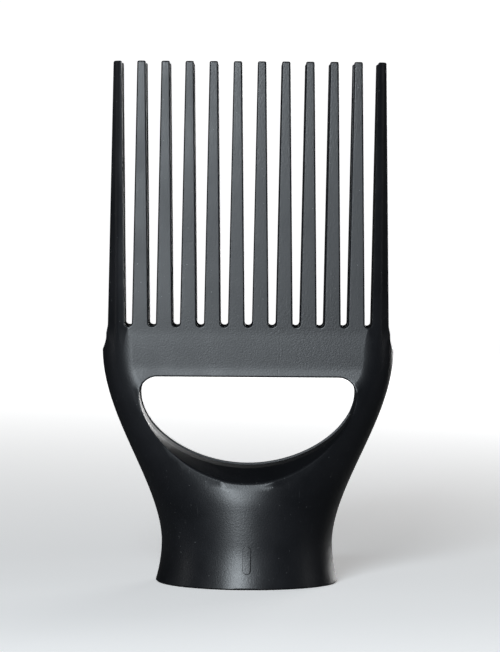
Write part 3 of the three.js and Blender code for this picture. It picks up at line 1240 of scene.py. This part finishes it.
@dataclass(frozen=True)
class Finish:
    """One finish: its colours, its gloss, and the depth of its grain in metres."""

    name: str
    slot: str
    roughness: float
    colour: Triple
    cloud: Triple
    worn: Triple
    spread: float = 0.06
    grain: float = 0.8
    grain_depth: float = 0.00004
    fineness: float = 2100.0
    wear: float = 0.5
    metal: float = 0.0
    specular: float = 0.5
    subsurface: float = 0.0
    dust: Triple = (0.4, 0.4, 0.4)
    tint_range: Pair = (0.35, 0.65)
    rough_range: Pair = (0.3, 0.7)
    mark_share: float = 0.5
    gloss_share: float = 0.08
    scratch_depth: float = 0.6

    def material(self, effects: Effects) -> Material:
        """Builds the material.

        Args:
            effects: the shared node groups.

        Returns:
            The material.
        """
        material = bpy.data.materials.new(self.name)
        material.use_nodes = True
        material.node_tree.nodes.clear()
        sketch = Sketch(material.node_tree)
        place = sketch.add("ShaderNodeTexCoord").outputs["Object"]
        grain = sketch.add("ShaderNodeGroup", node_tree=effects.grain)
        wear = sketch.add("ShaderNodeGroup", node_tree=effects.wear)
        for group, name, value in ((grain, "Fineness", self.fineness), (wear, "Amount", self.wear)):
            sketch.feed(group.inputs["Position"], place)
            sketch.feed(group.inputs[name], value)
        cloud, height = grain.outputs["Cloud"], grain.outputs["Grain"]
        scratches = wear.outputs["Scratches"]
        share = sketch.span(cloud, self.tint_range)
        tint = sketch.blend(share, (*self.colour, 1), (*self.cloud, 1))
        for mask, colour in ((scratches, self.worn), (wear.outputs["Dust"], self.dust)):
            tint = sketch.blend(sketch.math("MULTIPLY", mask, self.mark_share), tint, (*colour, 1))
        matt_range = (self.roughness - self.spread, self.roughness + self.spread)
        rough = sketch.span(cloud, self.rough_range, matt_range)
        for operation, mask in (("SUBTRACT", wear.outputs["Smudges"]), ("ADD", height)):
            rough = sketch.math(operation, rough, sketch.math("MULTIPLY", mask, self.gloss_share))
        carved = sketch.math("SUBTRACT", height, sketch.math("MULTIPLY", scratches, self.scratch_depth))
        relief = {"Height": carved, "Strength": self.grain, "Distance": self.grain_depth}
        inputs = {
            "Base Color": tint,
            "Roughness": rough,
            "Normal": sketch.add("ShaderNodeBump", relief).outputs[0],
            "Metallic": self.metal,
            "Specular IOR Level": self.specular,
            "Subsurface Weight": self.subsurface,
            "Subsurface Scale": MM,
        }
        shader = sketch.add("ShaderNodeBsdfPrincipled", inputs)
        sketch.add("ShaderNodeOutputMaterial", {0: shader.outputs[0]})
        return material


BLACK_SATIN = Finish(
    "black_satin_plastic", "black_plastic", 0.35,
    (0.0055, 0.006, 0.0075), (0.0085, 0.009, 0.011), (0.05, 0.05, 0.052),
)
LINER_MATT = Finish(
    "black_matt_plastic", "liner_plastic", 0.5,
    (0.007, 0.007, 0.008), (0.01, 0.01, 0.011), (0.04, 0.04, 0.04),
)
SLEEVE_SATIN = Finish(
    "graphite_plastic", "sleeve_plastic", 0.45,
    (0.034, 0.035, 0.038), (0.045, 0.046, 0.049), (0.12, 0.12, 0.12),
)
ACETAL = Finish(
    "white_acetal", "white_acetal", 0.36,
    (0.68, 0.67, 0.62), (0.74, 0.73, 0.69), (0.5, 0.5, 0.47), subsurface=0.1,
)
SILICONE = Finish(
    "grey_silicone", "grey_silicone", 0.7,
    (0.1, 0.105, 0.11), (0.13, 0.135, 0.14), (0.2, 0.2, 0.2), grain=0.5,
)
SPRING_STEEL = Finish(
    "spring_steel", "spring_steel", 0.28,
    (0.5, 0.51, 0.53), (0.6, 0.6, 0.61), (0.75, 0.75, 0.76), fineness=1400.0, metal=1.0,
)


# ---- Studio ----------------------------------------------------------------


@dataclass(frozen=True)
class SoftLight:
    """A soft area light that is aimed at the middle of the nozzle."""

    name: str
    place: Triple
    size: Pair
    power: float
    colour: Triple = (1.0, 1.0, 1.0)
    aim: Triple = (0.0, 0.0, 0.075)

    def hang(self) -> None:
        """Puts the light in the scene."""
        light = bpy.data.lights.new(self.name, "AREA")
        light.shape = "RECTANGLE"
        light.size, light.size_y = self.size
        light.energy = self.power
        light.color = self.colour
        lamp = bpy.data.objects.new(self.name, light)
        bpy.context.collection.objects.link(lamp)
        lamp.location = self.place
        towards = Vector(self.aim) - Vector(self.place)
        lamp.rotation_euler = towards.to_track_quat("-Z", "Y").to_euler()


@dataclass(frozen=True)
class Studio:
    """The floor, lights, surroundings and camera."""

    lights: tuple[SoftLight, ...] = (
        SoftLight("key", (-0.23, -1.1, 0.36), (0.34, 0.7), 15.0, (0.86, 0.94, 1.0)),
        SoftLight("left_strip", (-1.0, -0.05, 0.25), (0.1, 0.8), 0.4),
        SoftLight("right_strip", (1.0, -0.05, 0.25), (0.1, 0.8), 0.35),
        SoftLight("back_fill", (0.6, 1.35, 0.22), (0.6, 0.5), 7.0),
    )
    camera_place: Triple = (0.0005, -1.1, 0.115)
    pitch: float = -2.06
    roll: float = 0.4
    lens: float = 206.0
    sensor: float = 36.0
    floor_colour: Triple = (0.9, 0.9, 0.9)
    floor_half_width: float = 4.0
    sweep_start: float = 1.6
    sweep_radius: float = 1.2
    wall_height: float = 4.0
    floor_bounce: float = 0.07
    # painted light: how strongly the floor glows for camera rays, near the nozzle and far off, and the
    # distances in metres over which it rises
    floor_glow: Pair = (0.35, 0.97)
    glow_reach: Pair = (0.1, 1.2)
    glow: float = 0.03
    paper_scale: float = 9.0
    paper_shade: float = 0.97
    paper_roughness: float = 0.8
    floor_splits: int = 6

    def build(self) -> None:
        """Builds the whole studio."""
        bpy.context.scene.view_settings.view_transform = "Standard"
        self._floor()
        self._surroundings()
        for light in self.lights:
            light.hang()
        self._camera()

    def _floor(self) -> None:
        """Lays the plain pale floor, which sweeps up into a wall far behind the nozzle."""
        leave_edit()
        bpy.ops.mesh.primitive_plane_add(size=2 * self.floor_half_width, location=(0, 0, 0))
        floor = bpy.context.object
        floor.name = "studio_floor"
        bpy.ops.object.mode_set(mode="EDIT")
        bpy.ops.mesh.subdivide(number_cuts=1)
        leave_edit()
        apply_modifier(floor, "SUBSURF", subdivision_type="SIMPLE", levels=self.floor_splits)
        quarter = self.sweep_radius * math.pi / 2
        for vertex in floor.data.vertices:
            beyond = vertex.co.y - self.sweep_start
            if beyond > 0:
                turn = min(beyond, quarter) / self.sweep_radius
                wall = max(beyond - quarter, 0.0) * self.wall_height
                vertex.co.y = self.sweep_start + self.sweep_radius * math.sin(turn)
                vertex.co.z = self.sweep_radius * (1 - math.cos(turn)) + wall
        focus(floor)
        bpy.ops.object.shade_smooth()
        floor.data.materials.append(self._paper())

    def _paper(self) -> Material:
        """Builds the floor's paper, which throws little light back and glows for camera rays only: painted
        light, faint near the nozzle and almost white far off, so the floor looks darker round the nozzle.

        Returns:
            The material.
        """
        material = bpy.data.materials.new("studio_paper")
        material.use_nodes = True
        sketch = Sketch(material.node_tree)
        place = sketch.add("ShaderNodeTexCoord").outputs["Object"]
        seen = sketch.add("ShaderNodeLightPath").outputs["Is Camera Ray"]
        darker = tuple(self.paper_shade * part for part in self.floor_colour)
        tone = sketch.noise(place, self.paper_scale, 3.0)
        tint = sketch.blend(tone, (*self.floor_colour, 1), (*darker, 1))
        bounce = (self.floor_bounce, self.floor_bounce, self.floor_bounce, 1)
        distance = sketch.add("ShaderNodeVectorMath", {0: place}, operation="LENGTH").outputs["Value"]
        # painted light: the floor glows for camera rays only, weakly near the nozzle and more strongly
        # further out
        glow = sketch.span(distance, self.glow_reach, self.floor_glow)
        values = {
            "Base Color": sketch.blend(seen, bounce, tint),
            "Emission Strength": sketch.math("MULTIPLY", seen, glow),
            "Emission Color": (1, 1, 1, 1),
            "Roughness": self.paper_roughness,
        }
        shader = material.node_tree.nodes["Principled BSDF"]
        for name, value in values.items():
            sketch.feed(shader.inputs[name], value)
        return material

    def _surroundings(self) -> None:
        """Lights the surroundings dimly, and shows them white behind the nozzle."""
        world = bpy.data.worlds.new("studio_air")
        bpy.context.scene.world = world
        world.use_nodes = True
        world.node_tree.nodes.clear()
        sketch = Sketch(world.node_tree)
        seen = sketch.add("ShaderNodeLightPath").outputs["Is Camera Ray"]
        dim = sketch.add("ShaderNodeBackground", {"Color": (1, 1, 1, 1), "Strength": self.glow})
        white = sketch.add("ShaderNodeBackground", {"Color": (1, 1, 1, 1), "Strength": 1.0})
        mix = sketch.add("ShaderNodeMixShader", {0: seen, 1: dim.outputs[0], 2: white.outputs[0]})
        sketch.add("ShaderNodeOutputWorld", {0: mix.outputs[0]})

    def _camera(self) -> None:
        """Places the camera in front, a little above the middle."""
        camera = bpy.data.cameras.new("camera")
        camera.lens = self.lens
        camera.sensor_width = self.sensor
        stand = bpy.data.objects.new("camera", camera)
        bpy.context.collection.objects.link(stand)
        stand.location = self.camera_place
        level = Matrix.Rotation(math.radians(90 + self.pitch), 3, "X")
        leaning = level @ Matrix.Rotation(math.radians(self.roll), 3, "Z")
        stand.rotation_euler = leaning.to_euler()
        bpy.context.scene.camera = stand


# ---- Assembly --------------------------------------------------------------


@dataclass
class Assembly:
    """Dresses each piece and hangs it on the body that it moves with."""

    effects: Effects
    materials: dict[str, Material] = field(default_factory=dict)

    def place(self, piece: Piece, node: str, body: str, finish: Finish) -> None:
        """Puts one finished piece in the place of its CAD node.

        Args:
            piece: the finished piece.
            node: the node that it stands for.
            body: the body that it moves with.
            finish: its material.
        """
        if finish.name not in self.materials:
            self.materials[finish.name] = finish.material(self.effects)
        piece.data.materials.clear()
        piece.data.materials.append(self.materials[finish.name])
        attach(piece, body)
        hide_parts(node)
        LOG.info("%s: %d faces, for %s on %s", piece.name, len(piece.data.polygons), node, body)


def main() -> None:
    """Builds every piece, the finishes and the studio."""
    logging.basicConfig(level=logging.INFO, format="%(message)s")
    leave_edit()
    assembly = Assembly(Effects(MouldedGrain().group(), HandlingWear().group()))
    shells = CombShells()
    whole = shells.whole()
    for side, name, node in (
        (Side.FRONT, "front_shell_moulding", "front_comb_shell"),
        (Side.REAR, "rear_shell_moulding", "rear_comb_shell"),
    ):
        assembly.place(shells.half(whole, side, name), node, "comb_body", BLACK_SATIN)
    bpy.data.objects.remove(whole, do_unlink=True)
    assembly.place(WindowLiner().build(), "window_liner", "comb_body", LINER_MATT)
    coupling = Coupling()
    assembly.place(coupling.ring(), "glide_ring", "comb_body", ACETAL)
    assembly.place(coupling.sleeve(), "coupling_sleeve", "coupling", SLEEVE_SATIN)
    assembly.place(coupling.seal(), "barrel_seal", "coupling", SILICONE)
    for quarter, side_name in enumerate(("front", "right", "rear", "left")):
        leaf = coupling.spring(quarter, f"{side_name}_leaf_spring")
        assembly.place(leaf, f"{side_name}_grip_spring", f"{side_name}_spring", SPRING_STEEL)
    Studio().build()


if __name__ == "__main__":
    main()
